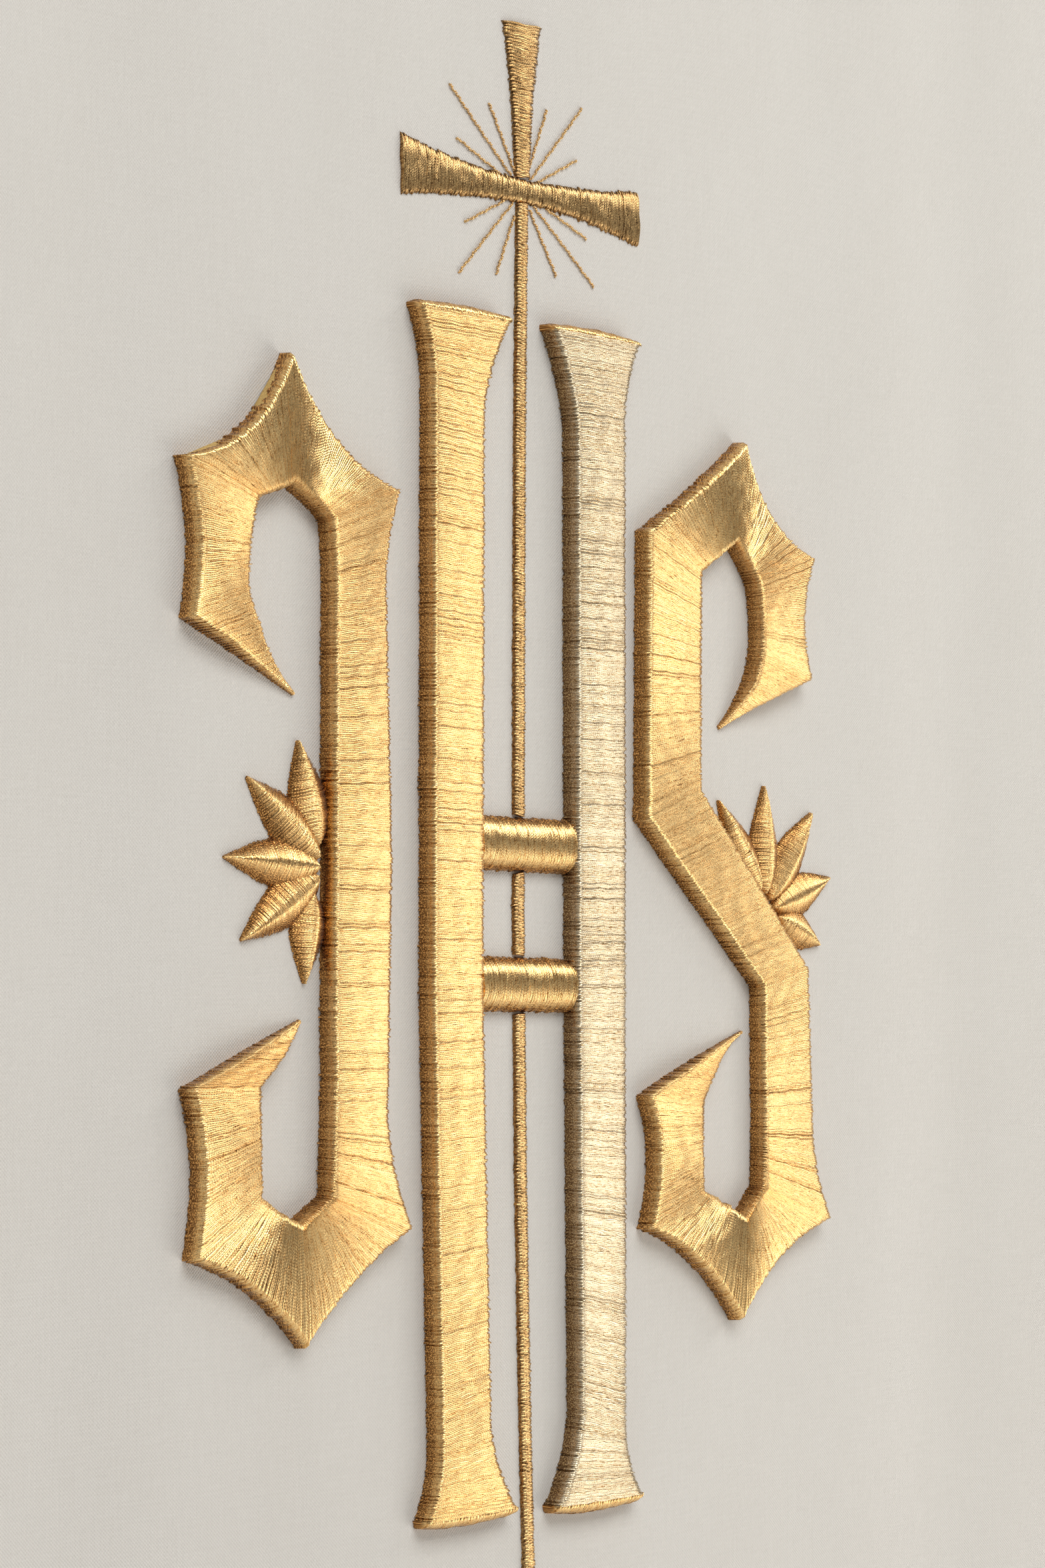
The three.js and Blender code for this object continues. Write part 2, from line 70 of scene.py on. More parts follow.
FOLD_LEAN = 0.42
FOLDS_END = 1 / 1.15
HEM_SWEEP = 0.75
SEAM_HALF_GAP = 0.00015
CLOTH_THICKNESS = 0.0009


def smooth_step(value, low, high):
    """0 below low, 1 above high, and a smooth cubic between."""
    t = np.clip((value - low) / (high - low), 0, 1)
    return t * t * (3 - 2 * t)


def cloth_swell(x, z, seed):
    """How far hung cloth stands out from its plain shape at x and z: a few long upright
    waves, each a sine across whose place wanders slowly with height."""
    rng = np.random.default_rng(seed)
    swell = np.zeros_like(x)
    for wavelength, height in ((0.23, 0.0011), (0.13, 0.0006), (0.075, 0.0003)):
        phase, drift, rate = rng.uniform(0, 6.28), rng.uniform(0.4, 0.9), rng.uniform(3, 6)
        swell += height * np.sin(6.283 * x / wavelength + phase + drift * np.sin(rate * z + phase))
    return swell


def panel_swell(x, z, seed):
    """The swell of a panel, held down to half a millimetre or so near the middle."""
    return cloth_swell(x, z, seed) * (2.4 - 1.9 * np.exp(-(x / 0.19) ** 4))


def hanging_plan(side, fall):
    """Where the cloth hangs once clear of the shoulder, as x past the flat part and y
    out from the middle plane: a quarter oval that widens as it falls, pushed out by
    three waves whose crests roll over."""
    turn = side * np.pi / 2
    spread = SIDE_SPREAD + SIDE_FLARE * fall
    depth = FOLD_REACH * fall * np.sqrt(np.sin(np.pi * np.minimum(1, side / FOLDS_END)).clip(0))
    wave = 2 * FOLDS * np.pi * side
    out = depth * (1 - np.cos(wave)) / 2
    roll = FOLD_LEAN * depth * np.sin(wave)
    x = (spread + out) * np.sin(turn) - roll * np.cos(turn)
    y = (PANEL_DEPTH + out) * np.cos(turn) + roll * np.sin(turn)
    return FLAT_HALF_WIDTH + x, y


def panel_surface(across, down, length, neck_drop):
    """A panel's outer face. across runs from -1 to 1, with flat cloth inside the flat
    share; down runs from 0 at the seam or neckline to 1 at the hem. Its first part, the
    curve share, is a quarter oval over the shoulder, and the rest is straight. y is the
    distance out from the middle plane."""
    out = np.abs(across)
    side = np.clip(out / FLAT_SHARE - 1, 0, 1)
    seam_x = np.where(out < FLAT_SHARE, out / FLAT_SHARE * FLAT_HALF_WIDTH,
                      FLAT_HALF_WIDTH + side * (SEAM_END - FLAT_HALF_WIDTH))
    in_neck = seam_x < NECK_HALF_WIDTH
    seam_z = -SHOULDER_SLOPE * (seam_x - NECK_HALF_WIDTH).clip(0)
    neck_z = -neck_drop * np.sqrt((1 - (seam_x / NECK_HALF_WIDTH) ** 2).clip(0))
    top = np.where(in_neck, neck_z, seam_z)
    arc_foot = np.where(in_neck, 0, top) - SHOULDER_ROUND
    below_wrist = length - HEM_RISE - WRIST_DROP
    hem = np.where(side > 0,
                   -WRIST_DROP - below_wrist * np.cos(side * np.pi / 2).clip(0) ** HEM_SWEEP,
                   -length + HEM_RISE * (seam_x / FLAT_HALF_WIDTH) ** 2)
    start = np.minimum(top, arc_foot)
    on_arc = (down <= CURVE_SHARE) & (top > arc_foot)
    fall_share = np.where(top > arc_foot, (down - CURVE_SHARE) / (1 - CURVE_SHARE), down)
    z = np.where(on_arc, top + (arc_foot - top) * (1 - np.cos(down / CURVE_SHARE * np.pi / 2)),
                 start + (hem - start) * fall_share)
    curve = np.sqrt((1 - np.clip((z - arc_foot) / SHOULDER_ROUND, 0, 1) ** 2).clip(0))
    plan_x, plan_y = hanging_plan(side, (arc_foot - z).clip(0))
    x = np.where(side > 0, seam_x + (plan_x - seam_x) * curve, seam_x)
    y = SEAM_HALF_GAP + (np.where(side > 0, plan_y, PANEL_DEPTH) - SEAM_HALF_GAP) * curve
    return np.sign(across) * x, y, z, curve, hem


def add_piece(name, points, faces, uv, material, closed):
    """Makes a mesh object from an array of points, a list of face-index arrays and one uv
    per point. A closed surface that comes out inside out, by its signed volume, is turned."""
    corners = np.concatenate([f.ravel() for f in faces])
    sizes = np.concatenate([np.full(len(f), f.shape[1]) for f in faces])
    starts = np.concatenate([[0], np.cumsum(sizes)[:-1]])
    if closed:
        quads = faces[0]
        a, b, c, d = (points[quads[:, k]] for k in range(4))
        volume = (a * np.cross(b, c)).sum() + (a * np.cross(c, d)).sum()
        if volume < 0:
            corners = np.concatenate([f[:, ::-1].ravel() for f in faces])
    mesh = bpy.data.meshes.new(name)
    mesh.vertices.add(len(points))
    mesh.vertices.foreach_set("co", points.astype(np.float32).ravel())
    mesh.loops.add(len(corners))
    mesh.loops.foreach_set("vertex_index", corners.astype(np.int32))
    mesh.polygons.add(len(sizes))
    mesh.polygons.foreach_set("loop_start", starts.astype(np.int32))
    mesh.update(calc_edges=True)
    mesh.uv_layers.new(name="lay").data.foreach_set("uv", uv[corners].astype(np.float32).ravel())
    mesh.shade_smooth()
    mesh.materials.append(material)
    piece = bpy.data.objects.new(name, mesh)
    bpy.context.collection.objects.link(piece)
    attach(piece, "root")
    return piece


def grid_faces(rows, columns):
    """Four-cornered faces of a grid whose points are stored row after row."""
    first = (np.arange(rows - 1)[:, None] * columns + np.arange(columns - 1)).ravel()
    return np.stack([first, first + 1, first + columns + 1, first + columns], axis=1)


def new_material(name, roughness):
    """A material with its node tree and its one shader, at this roughness."""
    material = bpy.data.materials.new(name)
    material.use_nodes = True
    shader = material.node_tree.nodes["Principled BSDF"]
    shader.inputs["Roughness"].default_value = roughness
    return material, material.node_tree, shader


def calculate(tree, operation, a, b=0.0):
    """One step of arithmetic in a node tree. a and b are numbers or sockets."""
    step = tree.nodes.new("ShaderNodeMath")
    step.operation = operation
    for socket, value in zip(step.inputs, (a, b)):
        if isinstance(value, (int, float)):
            socket.default_value = value
        else:
            tree.links.new(value, socket)
    return step.outputs[0]


def colour_ramp(tree, factor, stops):
    """The colour that a factor picks from stops, each a place and a colour."""
    ramp = tree.nodes.new("ShaderNodeValToRGB")
    band = ramp.color_ramp.elements
    (band[0].position, first), *between, (band[1].position, last) = stops
    band[0].color, band[1].color = (*first, 1), (*last, 1)
    for place, colour in between:
        band.new(place).color = (*colour, 1)
    tree.links.new(factor, ramp.inputs["Fac"])
    return ramp.outputs["Color"]


def thread_noise(tree, lay, along_u, along_v, detail):
    """Noise stretched along a piece's own uv: the larger a number, the finer that way."""
    place = tree.nodes.new("ShaderNodeMapping")
    place.inputs["Scale"].default_value = (along_u, along_v, 1)
    tree.links.new(lay, place.inputs["Vector"])
    noise = tree.nodes.new("ShaderNodeTexNoise")
    noise.inputs["Scale"].default_value = 1
    noise.inputs["Detail"].default_value = detail
    tree.links.new(place.outputs["Vector"], noise.inputs["Vector"])
    return noise.outputs["Fac"]


def raise_bumps(tree, shader, height, strength, distance):
    """Gives a shader fine relief from a height socket, distance in metres."""
    bump = tree.nodes.new("ShaderNodeBump")
    bump.inputs["Strength"].default_value = strength
    bump.inputs["Distance"].default_value = distance
    tree.links.new(height, bump.inputs["Height"])
    tree.links.new(bump.outputs["Normal"], shader.inputs["Normal"])


WEAVE_PERIOD = 0.00104


def woven_cloth(name, base, light, dark):
    """Matt ivory cloth: a plain weave as a bump of crossed sines on the piece's own uv,
    which is in metres, with thread-to-thread shade from noise stretched each way, and
    painted shade and highlight that follow the weave's bump, lighter where it stands up."""
    material, tree, shader = new_material(name, 0.88)
    shader.inputs["Sheen Weight"].default_value = 0.12
    shader.inputs["Sheen Roughness"].default_value = 0.5
    shader.inputs["Specular IOR Level"].default_value = 0.25
    uv = tree.nodes.new("ShaderNodeUVMap")
    uv.uv_map = "lay"
    lay = uv.outputs["UV"]
    split = tree.nodes.new("ShaderNodeSeparateXYZ")
    tree.links.new(lay, split.inputs[0])
    threads = 2 * np.pi / WEAVE_PERIOD
    warp = calculate(tree, "SINE", calculate(tree, "MULTIPLY", split.outputs["X"], threads))
    weft = calculate(tree, "SINE", calculate(tree, "MULTIPLY", split.outputs["Y"], threads))
    crossing = calculate(tree, "MULTIPLY", warp, weft)
    slubs = calculate(tree, "ADD", thread_noise(tree, lay, 1400, 60, 2), thread_noise(tree, lay, 60, 1400, 2))
    cloud = thread_noise(tree, lay, 26, 12, 3)
    relief = calculate(tree, "ADD", calculate(tree, "MULTIPLY", crossing, 0.5),
                       calculate(tree, "MULTIPLY", slubs, 0.5))
    raise_bumps(tree, shader, relief, 0.75, 0.0002)
    shade = calculate(tree, "MULTIPLY", calculate(tree, "ADD", slubs, cloud), 0.2)
    # Painted shade and highlight: the cloth is lighter where the weave's crossed sines stand up and darker in
    # the dips between.
    weave = calculate(tree, "MULTIPLY", calculate(tree, "ADD", crossing, 2.0), 0.11)
    tone = colour_ramp(tree, calculate(tree, "ADD", shade, weave), [(0.25, dark), (0.52, base), (0.8, light)])
    tree.links.new(tone, shader.inputs["Base Color"])
    return material


ivory_cloth = woven_cloth("ivory_cloth", (0.685, 0.65, 0.592), (0.725, 0.695, 0.64), (0.63, 0.59, 0.53))


def add_panel(name, face, length, neck_drop, seed):
    """A panel's cloth as a grid: columns close together in the folds, rows even below the
    shoulder. The last 20 mm above the hem stand out a little, where the hem is turned.
    u is the plan distance from the middle and v the length of cloth up from the hem."""
    flat_columns = FLAT_SHARE * np.linspace(0, 1, 59)
    fold_columns = FLAT_SHARE + (1 - FLAT_SHARE) * np.linspace(0, 1, 52)[1:]
    half = np.concatenate([flat_columns, fold_columns])
    columns = np.concatenate([-half[:0:-1], half])
    rows = np.concatenate([np.linspace(0, CURVE_SHARE, 26)[:-1], np.linspace(CURVE_SHARE, 0.985, 128)[:-1],
                           np.linspace(0.985, 1, 9)])
    across, down = np.meshgrid(columns, rows)
    x, y, z, curve, hem = panel_surface(across, down, length, neck_drop)
    turned_edge = 0.0007 * smooth_step(hem + 0.020 - z, 0, 0.004)
    y = y + (panel_swell(x, z, seed) + turned_edge) * curve ** 4
    points = np.stack([x, face * y, z], axis=-1)
    run = np.linalg.norm(np.diff(points[..., :2], axis=1), axis=-1)
    u = np.concatenate([np.zeros((len(rows), 1)), np.cumsum(run, axis=1)], axis=1)
    u = u - u[:, [len(columns) // 2]]
    fall = np.linalg.norm(np.diff(points, axis=0), axis=-1)
    fallen = np.concatenate([np.zeros((1, len(columns))), np.cumsum(fall, axis=0)])
    v = z[-1:] + fallen[-1:] - fallen
    faces = grid_faces(len(rows), len(columns))
    panel = add_piece(name, points.reshape(-1, 3), [faces if face > 0 else faces[:, ::-1]],
                      np.stack([u, v], axis=-1).reshape(-1, 2), ivory_cloth, closed=False)
    wall = panel.modifiers.new("cloth thickness", "SOLIDIFY")
    wall.thickness = CLOTH_THICKNESS
    wall.offset = -1
    return panel


FRONT_SEED = 11
front_cloth = add_panel("front_cloth", -1, FRONT_LENGTH, FRONT_NECK_DROP, FRONT_SEED)
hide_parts("front_panel")
back_cloth = add_panel("back_cloth", 1, BACK_LENGTH, BACK_NECK_DROP, 23)
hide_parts("back_panel")

# ---------------------------------------------------------------------------------------
# The neck binding: a bias strip of the same cloth, rolled over the raw edge of the neck
# opening, front and back, and felled down inside.
# ---------------------------------------------------------------------------------------
BINDING_HALF_WIDTH = 0.0021
BINDING_HALF_THICK = 0.0011
BINDING_INSET = 0.0016


def add_binding(name, node, face, drop):
    """A flat round-edged roll along half an ellipse that lies on the panel's shoulder
    curve. Its section is an ellipse in the frame of the edge: one axis in the cloth,
    towards the neck, and the other square to it. The roll swells and dips a little."""
    turn = np.linspace(-np.pi / 2, np.pi / 2, 181)[:, None]
    around = np.linspace(0, 2 * np.pi, 17)[None, :]

    def edge(turn, inset):
        x = (NECK_HALF_WIDTH - inset) * np.sin(turn)
        z = -(drop - inset) * np.cos(turn)
        y = PANEL_DEPTH * np.sqrt((1 - (1 + z / SHOULDER_ROUND).clip(0) ** 2).clip(0))
        return np.stack([x, face * (y + SEAT_GAP), z], axis=-1)

    centre = edge(turn, BINDING_INSET)
    ahead = edge(turn + 0.01, BINDING_INSET) - edge(turn - 0.01, BINDING_INSET)
    towards = edge(turn, BINDING_INSET + 0.001) - edge(turn, BINDING_INSET - 0.001)
    square = np.cross(ahead, towards)
    towards, square = (d / np.linalg.norm(d, axis=-1, keepdims=True) for d in (towards, square))
    full = 1 + 0.07 * np.sin(turn * 41) * np.sin(turn * 9 + 1)
    points = (centre + towards * (BINDING_HALF_WIDTH * np.cos(around) * full)[..., None]
              + square * (BINDING_HALF_THICK * np.sin(around) * full)[..., None])
    rim = points[:, :-1]
    faces = grid_faces(len(turn), 17)
    row, column = np.divmod(faces, 17)
    run = np.concatenate([[0], np.cumsum(np.linalg.norm(np.diff(centre[:, 0], axis=0), axis=1))])
    lay = np.stack(np.broadcast_arrays(run[:, None], 0.0055 * around[:, :-1] / np.pi), axis=-1)
    binding = add_piece(name, rim.reshape(-1, 3), [row * 16 + column % 16], lay.reshape(-1, 2), ivory_cloth,
                        closed=True)
    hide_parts(node)


add_binding("front_neck_roll", "front_neck_binding", -1, FRONT_NECK_DROP)
add_binding("back_neck_roll", "back_neck_binding", 1, BACK_NECK_DROP)

# ---------------------------------------------------------------------------------------
# The two outer letters. Gold thread is laid across a thick foam shape in close satin
# stitches, down to the cloth on both sides, so each stroke stands up as a rounded ridge.
# Places here are in millimetres from the middle of the emblem, x and then z.
# ---------------------------------------------------------------------------------------
STITCH_PITCH = 0.52
LETTER_RISE = 6.2
FULL_WIDTH = 15.0


def cloth_point(x, z, rise):
    """A point of the embroidery in metres: x and z on the front, and so much off the
    cloth, whose own swell it follows."""
    x, z = x / 1000, EMBLEM_HEIGHT + z / 1000
    y = -(PANEL_DEPTH + SEAT_GAP) - rise / 1000 - panel_swell(x, z, FRONT_SEED)
    return np.stack([x, y, z], axis=-1)


def stroke_edges(corners, bows):
    """The two edges of a satin stroke as fine lines. A row of corners is x, z of one edge
    and x, z of the other. Between rows each edge bows towards the other: the straight
    line plus 4 t (1 - t) times the bow, along the way to the other edge's middle."""
    ends = np.array(corners, float).reshape(-1, 2, 2)
    share = np.linspace(0, 1, 41)[:, None]
    lines = []
    for i in range(len(ends) - 1):
        middles = (ends[i] + ends[i + 1]) / 2
        towards = middles[::-1] - middles
        towards = towards / np.linalg.norm(towards, axis=1, keepdims=True)
        lines.append([ends[i, e] * (1 - share) + ends[i + 1, e] * share
                      + 4 * share * (1 - share) * bows[i][e] * towards[e] for e in (0, 1)])
    return [np.concatenate([line[e][(i > 0):] for i, line in enumerate(lines)]) for e in (0, 1)]


def satin(name, edges, rise, profile, seed, pitch=STITCH_PITCH, ragged=0.22, ridge=0.21, across=17,
          narrowing=0.7, lengthwise=None, slant=0.0, thread=None):
    """Satin stitches between two edges as one surface: thread k crosses from one edge to
    the other at (k + phase) times the pitch, and its height is the stroke's profile plus
    a round ridge of its own. Ends, heights and lie vary a little from thread to thread,
    and a few threads lie deeper. lengthwise is a second profile, along the stroke, and
    slant sends the far ends of the threads up and down by turns, in millimetres."""
    rng = np.random.default_rng(seed)
    step = (np.linalg.norm(np.diff(edges[0], axis=0), axis=1)
            + np.linalg.norm(np.diff(edges[1], axis=0), axis=1)) / 2
    along = np.concatenate([[0], np.cumsum(step)])
    threads = max(4, int(round(along[-1] / pitch)))
    phases = np.tile([0.0, 0.25, 0.5, 0.75], threads)
    index = np.repeat(np.arange(threads), 4)
    place = (index + phases) / threads * along[-1]
    a, b = (np.stack([np.interp(place, along, edge[:, k]) for k in (0, 1)], axis=1) for edge in edges)
    wide = np.linalg.norm(b - a, axis=1)
    line = (b - a) / wide[:, None]
    uneven = rng.normal(0, ragged, (threads, 2)) + 0.5 * ragged * np.stack(
        [(-1.0) ** np.arange(threads), (-1.0) ** (np.arange(threads) // 2)], axis=1)
    reach = np.minimum(1, wide / 8)[:, None]
    a = a - line * (uneven[index, :1] * reach)
    b = b + line * (uneven[index, 1:] * reach)
    u = (1 - np.cos(np.pi * np.linspace(0, 1, across))) / 2
    lie = np.cumsum(rng.normal(0, 0.7, threads))[index][:, None]
    wander = 0.42 * pitch * np.sin(2 * np.pi * u * wide[:, None] / 9 + lie) * np.sin(np.pi * u)
    wander = wander + slant * ((-1.0) ** index)[:, None] * (2 * u - 1)
    x = a[:, :1] + (b - a)[:, :1] * u - line[:, 1:] * wander
    z = a[:, 1:] + (b - a)[:, 1:] * u + line[:, :1] * wander
    round_thread = ridge * np.sin(np.pi * phases)[:, None]
    slack = rng.normal(0, 0.36 * ridge, threads) - 0.9 * ridge * (rng.random(threads) < 0.05)
    full = rise * np.minimum(1, wide / FULL_WIDTH)[:, None] ** narrowing
    shape = profile(u[None, :], wide[:, None])
    if lengthwise is not None:
        shape = shape * lengthwise((place / along[-1])[:, None], along[-1])
    height = full * shape + (round_thread + slack[index][:, None]) * np.minimum(1, 3 * shape) - 0.25
    x, z, height, shape = (np.concatenate([g[:1], g, g[-1:]]) for g in (x, z, height, shape))
    height[0] = height[-1] = -0.35
    shape[0] = shape[-1] = 0
    points = cloth_point(x, z, height)
    thread_place = np.concatenate([[0], index + phases, [threads]])
    run = np.sqrt(np.diff(x, axis=1) ** 2 + np.diff(z, axis=1) ** 2 + np.diff(height, axis=1) ** 2)
    run = np.concatenate([np.zeros((len(x), 1)), np.cumsum(run, axis=1)], axis=1)
    lay = np.stack(np.broadcast_arrays(run, thread_place[:, None]), axis=-1)
    faces = grid_faces(len(x), across)
    corner = points.reshape(-1, 3)[faces]
    if np.cross(corner[:, 2] - corner[:, 0], corner[:, 3] - corner[:, 1])[:, 1].sum() > 0:
        faces = faces[:, ::-1]
    piece = add_piece(name, points.reshape(-1, 3), [faces], lay.reshape(-1, 2), thread or gold_satin,
                      closed=False)
    lift = piece.data.attributes.new("lift", "FLOAT", "POINT")
    lift.data.foreach_set("value", shape.astype(np.float32).ravel())
    return piece


def slab(u, wide):
    """A steep-sided section with tight round shoulders, 1.5 mm across, and a top that is
    just domed."""
    s = np.abs(2 * u - 1)
    shoulder = np.minimum(1.5, wide / 2)
    t = 1 - np.minimum(1, (1 - s) * wide / 2 / shoulder)
    return (1 - t ** 4).clip(0) ** 0.75 * (1.04 - 0.08 * s ** 2)


def gold_thread(name, crest, body, valley_shade, roughness, wall_share):
    """Bright metallic thread. The piece's uv gives millimetres along a thread and the
    number of threads across; each thread has its own tone, flecks, painted shade in a dark
    line beside it, a painted highlight over its crown, and the slanting lines of its twist.
    The lift attribute says how high the thread runs: where it dives to the cloth, painted
    shade takes over, speckled dark wall colours, all but wall_share."""
    material, tree, shader = new_material(name, roughness)
    shader.inputs["Metallic"].default_value = 0.9
    shader.inputs["Sheen Weight"].default_value = 0.06
    link = tree.links.new
    uv = tree.nodes.new("ShaderNodeUVMap")
    uv.uv_map = "lay"
    lay = uv.outputs["UV"]
    split = tree.nodes.new("ShaderNodeSeparateXYZ")
    link(lay, split.inputs[0])
    along, count = split.outputs["X"], split.outputs["Y"]
    phase = calculate(tree, "FRACT", count)
    crown = calculate(tree, "SINE", calculate(tree, "MULTIPLY", phase, float(np.pi)))
    twist_turn = calculate(tree, "ADD", calculate(tree, "MULTIPLY", along, 1.15), phase)
    twist = calculate(tree, "SINE", calculate(tree, "MULTIPLY", twist_turn, float(2 * np.pi)))
    own = tree.nodes.new("ShaderNodeTexWhiteNoise")
    own.noise_dimensions = "1D"
    link(calculate(tree, "FLOOR", count), own.inputs["W"])
    drift = thread_noise(tree, lay, 0.12, 0.16, 3)
    fleck = thread_noise(tree, lay, 0.55, 1.3, 1)
    speck = thread_noise(tree, lay, 2.6, 1.05, 1)
    glitter = calculate(tree, "ADD", fleck, calculate(tree, "MULTIPLY", speck, 0.8))
    tone = calculate(tree, "ADD", glitter, -0.50)
    tone = calculate(tree, "ADD", calculate(tree, "MULTIPLY", drift, 0.18), tone)
    tone = calculate(tree, "ADD", calculate(tree, "MULTIPLY", own.outputs["Value"], 0.20), tone)
    # Painted shade and highlight: the tone follows the thread's round crown, dark in the line between threads
    # and light along the top of each.
    tone = calculate(tree, "ADD", calculate(tree, "MULTIPLY", crown, 0.34), tone)
    gloss = calculate(tree, "ADD", calculate(tree, "MULTIPLY", speck, 0.26), roughness - 0.13)
    link(gloss, shader.inputs["Roughness"])
    top = colour_ramp(tree, tone, [(0.34, valley_shade), (0.56, body), (0.88, crest)])
    # Painted shade on the steep sides: speckles of the dark valley colour and a lit body colour take over
    # from the top colour where the lift is low.
    lit_body = [min(1, 1.2 * level) for level in body]
    wall = colour_ramp(tree, speck, [(0.50, valley_shade), (0.60, lit_body)])
    lift = tree.nodes.new("ShaderNodeAttribute")
    lift.attribute_name = "lift"
    clear = tree.nodes.new("ShaderNodeMapRange")
    clear.interpolation_type = "SMOOTHSTEP"
    clear.inputs["From Min"].default_value = 0.35
    clear.inputs["From Max"].default_value = 0.98
    clear.inputs["To Min"].default_value = wall_share
    link(lift.outputs["Fac"], clear.inputs["Value"])
    blend = tree.nodes.new("ShaderNodeMix")
    blend.data_type = "RGBA"
    link(clear.outputs["Result"], blend.inputs[0])
    link(wall, blend.inputs[6])
    link(top, blend.inputs[7])
    link(blend.outputs[2], shader.inputs["Base Color"])
    relief = calculate(tree, "ADD", crown, calculate(tree, "MULTIPLY", twist, 0.5))
    raise_bumps(tree, shader, relief, 0.35, 0.00006)
    return material


gold_satin = gold_thread("gold_satin", (1.0, 0.69, 0.30), (0.78, 0.41, 0.125), (0.17, 0.066, 0.013),
                         0.28, 0.06)
# A paler copy of the same gold thread, for the right column: its paler, whiter colours are painted highlight
# for the light that column catches.
gold_satin_painted_highlight = gold_thread("gold_satin_painted_highlight", (0.80, 0.67, 0.46), (0.46, 0.31, 0.14), (0.14, 0.06, 0.016),
                              0.29, 0.05)
# A darker, browner copy of the same gold thread, for the low stitching and the rays: its darker colours are
# painted shade.
flat_gold_satin_painted_shade = gold_thread("flat_gold_satin_painted_shade", (0.82, 0.54, 0.23), (0.36, 0.19, 0.06),
                              (0.10, 0.042, 0.011), 0.27, 0.3)

LETTER_I = [
    [-93.5, 21.5, -93, 22.5], [-136, 40.5, -114, 49], [-138, 85, -110.5, 75.5], [-98.5, 118, -97.5, 80.5],
    [-55.5, 83, -83.5, 71.5], [-61, 50, -82.3, 46], [-58.6, -25, -82.3, -25], [-60, -95, -82.2, -95],
    [-50, -130, -83, -119], [-91.5, -161, -94, -126], [-134, -134.5, -108.5, -118], [-135.5, -88, -109, -88],
    [-90.5, -69.5, -90, -70.5]]
LETTER_I_BOWS = [[0.3, 2.5], [3.2, 1.3], [7, 0], [6.5, 0.8], [2.3, 0.4], [0, 0], [0, 0], [2.4, 0],
                 [2.6, 0], [3.8, 0.5], [3.7, 0], [-0.7, 0]]
LETTER_S = [
    [89.2, 20.5, 88.5, 21.5], [131.5, 38.5, 104, 45], [133, 78.5, 102.5, 68], [97, 113, 92.5, 80],
    [49.5, 80.5, 75.5, 69], [48.5, -9.5, 75, 1], [104.5, -61, 128.5, -55], [105, -105, 130.5, -105],
    [104.5, -124, 139.5, -136.5], [96, -133, 94, -166.5], [76, -124, 50, -135], [76, -97.5, 49.5, -94.5],
    [99.4, -76.2, 100, -75]]
LETTER_S_BOWS = [[1.4, 2.2], [4.5, 1.2], [6.8, 0.3], [1.2, 0], [0, 0], [0, 0], [0, 0], [0, 2.3],
                 [0, 4.6], [0, 4.3], [0, 4.6], [3.5, -1.5]]

letter_i = satin("letter_i_stitches", stroke_edges(LETTER_I, LETTER_I_BOWS), LETTER_RISE, slab, 41)
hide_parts("letter_i_satin")
letter_s = satin("letter_s_stitches", stroke_edges(LETTER_S, LETTER_S_BOWS), LETTER_RISE, slab, 42)
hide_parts("letter_s_satin")

# ---------------------------------------------------------------------------------------
# The H. Two upright columns over foam, each end closed by a row of short upright
# stitches over the cut foam, and two bars stitched up and down over rounder foam.
# ---------------------------------------------------------------------------------------
LEFT_COLUMN = [[-48, 138, -9.5, 138], [-42.8, 112, -20.8, 110], [-42.8, -60, -21.3, -60],
               [-39.3, -192, -18.2, -188], [-44.5, -214.5, -7.5, -213.8]]
LEFT_COLUMN_BOWS = [[1.5, 1.8], [0, 0], [0, 0], [1.6, 1.9]]
RIGHT_COLUMN = [[7.5, 138, 46.5, 137.5], [16.8, 108, 39.3, 108], [17, -60, 39.2, -60],
                [18.2, -188, 39.2, -194], [8.3, -215.3, 47.3, -215.3]]
RIGHT_COLUMN_BOWS = [[1.5, 2.2], [0, 0], [0, 0], [2, 2.2]]

left_column = satin("h_left_column_stitches", stroke_edges(LEFT_COLUMN, LEFT_COLUMN_BOWS), LETTER_RISE,
                    slab, 51)
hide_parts("h_left_column_satin")
# Its thread is the paler copy of the gold: painted highlight.
right_column = satin("h_right_column_stitches", stroke_edges(RIGHT_COLUMN, RIGHT_COLUMN_BOWS), LETTER_RISE,
                     slab, 52, thread=gold_satin_painted_highlight)
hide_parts("h_right_column_satin")


def end_row(name, node, start, end, deep, seed):
    """A row of upright stitches, side by side from start to end, that come down over the
    end of a column: a quarter oval from the column's height out to the cloth."""
    share = np.linspace(0, 1, 41)[:, None]
    top = np.array(start) * (1 - share) + np.array(end) * share
    swell = 0.4 + 0.6 * np.sqrt(np.sin(np.pi * share))
    inner = top - [0, np.sign(deep) * 0.9]
    outer = top + np.concatenate([0 * share, (abs(deep) * swell) * np.sign(deep)], axis=1)

    def over_end(u, wide):
        return np.where(u < 0.2, 0.97, 0.97 * np.sqrt((1 - ((u - 0.2) / 0.8) ** 2).clip(0))) + 0 * wide

    row = satin(name, [inner, outer], LETTER_RISE, over_end, seed, pitch=0.62, ragged=0.3,
                ridge=0.24, across=11, narrowing=0.0, lengthwise=slab, slant=0.15)
    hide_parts(node)


end_row("h_left_top_stitches", "h_left_column_top_row", [-48.2, 138.5], [-9.2, 138.4], 2.4, 61)
end_row("h_left_foot_stitches", "h_left_column_foot_row", [-44.8, -215], [-7.2, -214.3], -2.8, 62)
end_row("h_right_top_stitches", "h_right_column_top_row", [7.2, 138.5], [46.8, 138], 2.2, 63)
end_row("h_right_foot_stitches", "h_right_column_foot_row", [8, -215.8], [47.6, -215.8], -3, 64)


def dome(u, wide):
    """A rounder section, for the bars."""
    s = np.abs(2 * u - 1)
    return (1 - s ** 2.6).clip(0) ** 0.62 + 0 * wide


